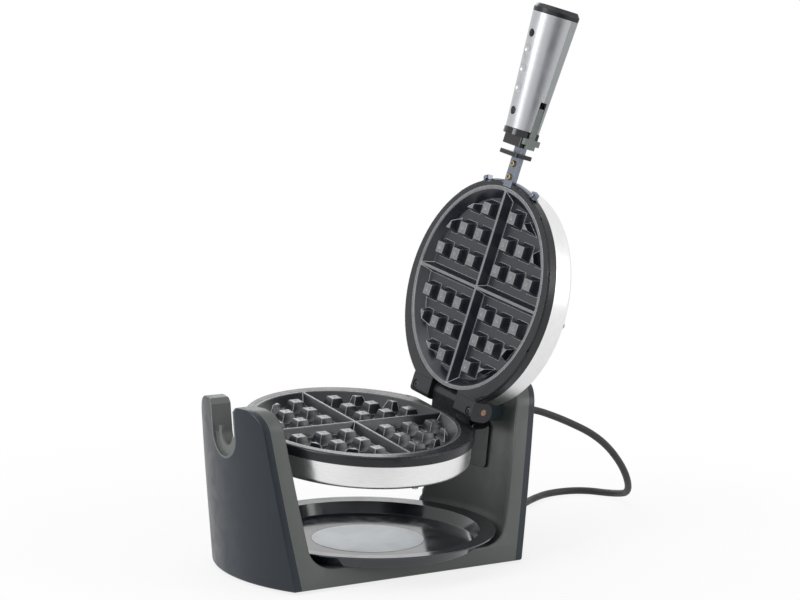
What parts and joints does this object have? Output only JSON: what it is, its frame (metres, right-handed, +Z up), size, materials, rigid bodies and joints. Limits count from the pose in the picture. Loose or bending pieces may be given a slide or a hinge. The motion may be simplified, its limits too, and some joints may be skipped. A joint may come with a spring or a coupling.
{
  "type": "rotating waffle maker",
  "caption": "Countertop waffle maker: round hinged halves with pyramid grid plates, turning on a pivot in a U-shaped stand over a lift-out drip tray.",
  "frame": {"origin": "on the table under the centre of the stand's round floor", "axes": "+X from the cradle tower towards the pivot tower, +Y to the back, +Z up"},
  "size_m": [0.5084, 0.3016, 0.5063],
  "materials": {
    "black_plastic": "satin moulded black plastic",
    "cradle_plastic": "satin dark grey plastic",
    "rubber": "matt black rubber",
    "tie": "soft black plastic band",
    "bare_steel": "bare zinc-plated steel",
    "ceramic": "off-white terminal plastic",
    "rim_plastic": "dense black heat-proof plastic",
    "brushed_steel": "finely brushed stainless steel",
    "nonstick": "non-stick coating on cast aluminium",
    "heater": "dull heating element",
    "pivot_grey": "smooth dark grey-green plastic",
    "lens": "translucent coloured lamp lens",
    "zinc": "bluish zinc-plated steel",
    "brass_screw": "yellow-passivated screws",
    "handle_silver": "satin silver-painted plastic",
    "handle_grey": "satin dark grey plastic",
    "latch_grey": "satin greenish grey plastic",
    "tray_enamel": "glossy dark non-stick coating on sheet steel",
    "tray_bare": "satin light grey disc"
  },
  "bodies": {
    "stand": {"stand_frame": "black_plastic", "left_cover": "black_plastic", "right_cover": "black_plastic", "cradle": "cradle_plastic", "inner_cover": "black_plastic", "bottom_plate": "black_plastic", "feet": "rubber", "bottom_screws": "bare_steel", "pivot_bush": "black_plastic", "terminal_block": "ceramic", "strain_relief": "rubber", "cord": "rubber", "cord_coil": "rubber", "cord_ties": "tie", "plug": "rubber", "plug_pins": "bare_steel"},
    "housing": {"lower_rim": "rim_plastic", "lower_shell": "brushed_steel", "lower_grid_plate": "nonstick", "lower_heater": "heater", "lower_thermostat": "bare_steel", "lower_screws": "bare_steel", "hinge_block": "rim_plastic", "hinge_pin": "bare_steel", "pivot_arm": "bare_steel", "pivot_shaft": "bare_steel", "shaft_ring": "bare_steel", "pivot_hub": "rim_plastic", "pivot_cover": "pivot_grey"},
    "lid": {"upper_rim": "rim_plastic", "upper_shell": "brushed_steel", "upper_grid_plate": "nonstick", "upper_heater": "heater", "upper_thermostat": "bare_steel", "upper_screws": "bare_steel", "ear_screws": "bare_steel", "indicator_lenses": "lens", "neck_bracket": "zinc", "neck_screws": "brass_screw", "rim_clamp": "bare_steel", "clamp_bolts": "bare_steel", "neck_flange": "rim_plastic", "handle_collar": "rim_plastic", "handle_front": "handle_silver", "handle_back": "handle_grey", "handle_end_cap": "rim_plastic", "handle_screws": "bare_steel"},
    "latch": {"latch_slider": "latch_grey"},
    "tray": {"drip_tray": "tray_enamel", "tray_disc": "tray_bare"}
  },
  "joints": [
    {"name": "flip", "type": "hinge", "parent": "stand", "child": "housing", "pos_m": [0.1375, 0, 0.131], "axis": [1, 0, 0], "range_deg": [-46.7, 33.3]},
    {"name": "lid_hinge", "type": "hinge", "parent": "housing", "child": "lid", "pos_m": [0.0885, -0.00152, 0.14391], "axis": [0, 0.9932, 0.1167], "range_deg": [-104.5, 0]},
    {"name": "latch_slide", "type": "slide", "parent": "lid", "child": "latch", "axis": [0.2504, -0.113, 0.9615], "range_m": [0, 0.004], "stiffness_N_per_m": 300},
    {"name": "tray_lift", "type": "slide", "parent": "stand", "child": "tray", "axis": [0, 0, 1], "range_m": [0, 0.008]}
  ]
}
